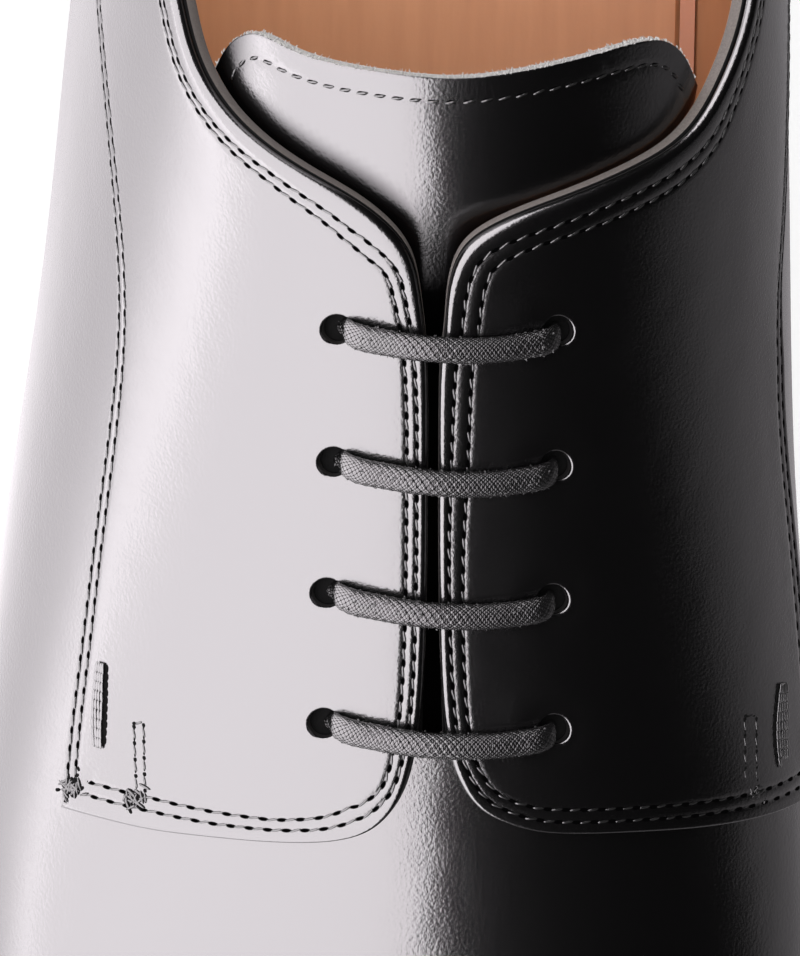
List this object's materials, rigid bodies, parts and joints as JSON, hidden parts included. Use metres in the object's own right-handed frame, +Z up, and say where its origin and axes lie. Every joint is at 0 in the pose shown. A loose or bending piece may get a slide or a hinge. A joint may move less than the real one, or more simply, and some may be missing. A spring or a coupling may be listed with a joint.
{
  "type": "derby shoe",
  "caption": "Plain black calf derby shoe for the right foot, laced in straight bars, with a welted leather sole and a stacked heel.",
  "frame": {"origin": "floor level under the centre of the shoe's outline", "axes": "+Z up from the floor; +Y from toe to heel; +X to the inner side of a right foot"},
  "size_m": [0.1013, 0.3023, 0.107],
  "materials": {
    "black_calf": "polished",
    "tan_lining": "smooth, matt",
    "black_braid": "braided, matt",
    "black_welt": "satin",
    "sole_edge": "inked and waxed",
    "black_rubber": "matt"
  },
  "bodies": {
    "root": {"upper": "black_calf", "tongue": "black_calf", "lace": "black_braid", "insole": "tan_lining", "welt": "black_welt", "outsole": "sole_edge", "heel": "sole_edge", "top_piece": "black_rubber"}
  },
  "joints": []
}
